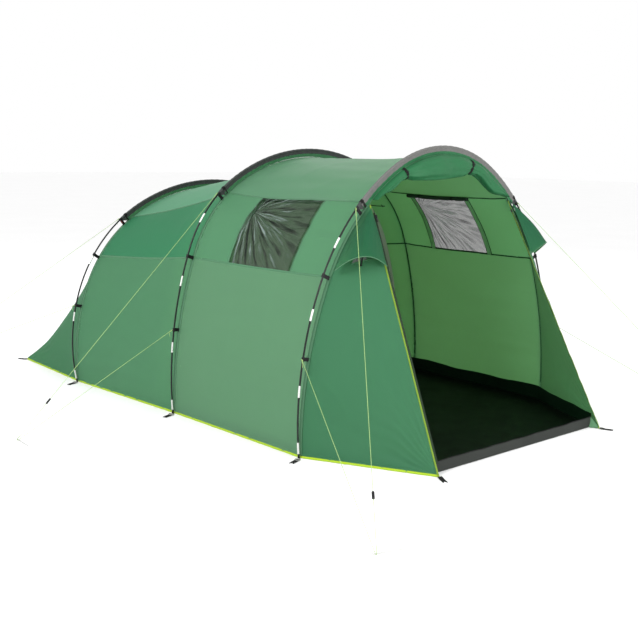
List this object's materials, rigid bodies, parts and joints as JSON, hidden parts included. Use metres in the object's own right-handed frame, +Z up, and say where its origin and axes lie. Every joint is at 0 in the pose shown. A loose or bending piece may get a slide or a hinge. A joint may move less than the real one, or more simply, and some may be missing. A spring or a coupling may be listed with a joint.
{
  "type": "tunnel tent",
  "caption": "Tunnel tent with bent pole hoops, sleeved fly, open porch with rolled door, side windows, hung inner tent and pegged guy lines.",
  "frame": {"origin": "on the ground, at the middle of the tent's pitched body", "axes": "+Z up, +Y from the porch door to the rear, X across the tunnel"},
  "size_m": [4.817, 5.4278, 1.9096],
  "materials": {
    "black_plastic": "moulded",
    "clear_film": "clear film",
    "dark_fly_fabric": "coated polyester",
    "elastic": "braided",
    "ferrule_metal": "bright metal",
    "floor_sheet": "woven polythene",
    "fly_fabric": "coated polyester",
    "guy_cord": "braided cord",
    "inner_fabric": "breathable polyester",
    "lime_binding": "woven binding",
    "mesh_fabric": "fine mesh",
    "peg_steel": "zinc plated",
    "pole_fibreglass": "satin fibreglass",
    "sill_fabric": "woven polythene",
    "sleeve_fabric": "coated weave",
    "webbing": "woven webbing",
    "zip_metal": "black",
    "zip_tape": "woven tape"
  },
  "bodies": {
    "tent": {"door_sill": "sill_fabric", "door_ties": "webbing", "door_zip_tapes": "zip_tape", "front_bay_lower_side_left": "fly_fabric", "front_bay_lower_side_right": "fly_fabric", "front_bay_roof": "fly_fabric", "front_bay_upper_side_left": "fly_fabric", "front_bay_upper_side_right": "fly_fabric", "front_guy_line_left": "guy_cord", "front_guy_line_right": "guy_cord", "front_pole": "pole_fibreglass", "front_pole_sleeve": "sleeve_fabric", "groundsheet": "floor_sheet", "guy_pegs": "peg_steel", "hem_piping": "lime_binding", "inner_tent_door": "inner_fabric", "inner_tent_floor": "floor_sheet", "inner_tent_front": "inner_fabric", "inner_tent_shell": "inner_fabric", "inner_tent_toggles": "inner_fabric", "middle_guy_line_left": "guy_cord", "middle_guy_line_right": "guy_cord", "middle_pole": "pole_fibreglass", "middle_pole_sleeve": "sleeve_fabric", "pegging_straps": "webbing", "pole_clips": "black_plastic", "pole_end_tips": "black_plastic", "pole_ferrules": "ferrule_metal", "porch_wall_left": "fly_fabric", "porch_wall_right": "fly_fabric", "rear_bay_lower_side_left": "fly_fabric", "rear_bay_lower_side_right": "fly_fabric", "rear_bay_roof": "fly_fabric", "rear_bay_upper_side_left": "fly_fabric", "rear_bay_upper_side_right": "fly_fabric", "rear_corner_left": "fly_fabric", "rear_corner_right": "fly_fabric", "rear_guy_line_left": "guy_cord", "rear_guy_line_right": "guy_cord", "rear_pole": "pole_fibreglass", "rear_pole_sleeve": "sleeve_fabric", "rear_wall": "fly_fabric", "rolled_door": "dark_fly_fabric", "shock_cords": "elastic", "vent_hood_left": "dark_fly_fabric", "vent_hood_right": "dark_fly_fabric", "vent_meshes": "mesh_fabric", "window_blinds": "dark_fly_fabric", "window_panes": "clear_film"},
    "front_guy_runner_left": {"front_guy_runner_left": "black_plastic"},
    "front_guy_runner_right": {"front_guy_runner_right": "black_plastic"},
    "middle_guy_runner_left": {"middle_guy_runner_left": "black_plastic"},
    "middle_guy_runner_right": {"middle_guy_runner_right": "black_plastic"},
    "rear_guy_runner_left": {"rear_guy_runner_left": "black_plastic"},
    "rear_guy_runner_right": {"rear_guy_runner_right": "black_plastic"},
    "door_zip_slider_right": {"door_zip_slider_right": "zip_metal"},
    "door_zip_slider_left": {"door_zip_slider_left": "zip_metal"},
    "vent_prop_right": {"vent_prop_right": "black_plastic"},
    "vent_prop_left": {"vent_prop_left": "black_plastic"},
    "inner_door_slider": {"inner_door_slider": "zip_metal"}
  },
  "joints": [
    {"name": "front_guy_runner_left_slide", "type": "slide", "parent": "tent", "child": "front_guy_runner_left", "axis": [0.4779, 0.5841, 0.6561], "range_m": [-0.2, 0.5]},
    {"name": "front_guy_runner_right_slide", "type": "slide", "parent": "tent", "child": "front_guy_runner_right", "axis": [-0.3607, 0.6214, 0.6955], "range_m": [-0.2, 0.5]},
    {"name": "middle_guy_runner_left_slide", "type": "slide", "parent": "tent", "child": "middle_guy_runner_left", "axis": [0.7033, -0.025, 0.7105], "range_m": [-0.2, 0.5]},
    {"name": "middle_guy_runner_right_slide", "type": "slide", "parent": "tent", "child": "middle_guy_runner_right", "axis": [-0.7033, -0.025, 0.7105], "range_m": [-0.2, 0.5]},
    {"name": "rear_guy_runner_left_slide", "type": "slide", "parent": "tent", "child": "rear_guy_runner_left", "axis": [0.5218, -0.631, 0.5741], "range_m": [-0.2, 0.5]},
    {"name": "rear_guy_runner_right_slide", "type": "slide", "parent": "tent", "child": "rear_guy_runner_right", "axis": [-0.5218, -0.631, 0.5741], "range_m": [-0.2, 0.5]},
    {"name": "door_zip_slider_right_run", "type": "slide", "parent": "tent", "child": "door_zip_slider_right", "axis": [0.0844, -0.4493, -0.8894], "range_m": [0, 1.454]},
    {"name": "door_zip_slider_left_run", "type": "slide", "parent": "tent", "child": "door_zip_slider_left", "axis": [-0.0844, -0.4493, -0.8894], "range_m": [0, 1.454]},
    {"name": "vent_prop_right_fold", "type": "hinge", "parent": "tent", "child": "vent_prop_right", "pos_m": [0.86055, -1.5508, 1.17447], "axis": [0.8224, 0.5577, -0.1125], "range_deg": [0, 60], "deforming": ["vent_hood_right"]},
    {"name": "vent_prop_left_fold", "type": "hinge", "parent": "tent", "child": "vent_prop_left", "pos_m": [-0.86055, -1.5508, 1.17447], "axis": [0.8224, -0.5577, 0.1125], "range_deg": [0, 60], "deforming": ["vent_hood_left"]},
    {"name": "inner_door_slider_run", "type": "slide", "parent": "tent", "child": "inner_door_slider", "axis": [0, 0, 1], "range_m": [0, 0.8]}
  ]
}
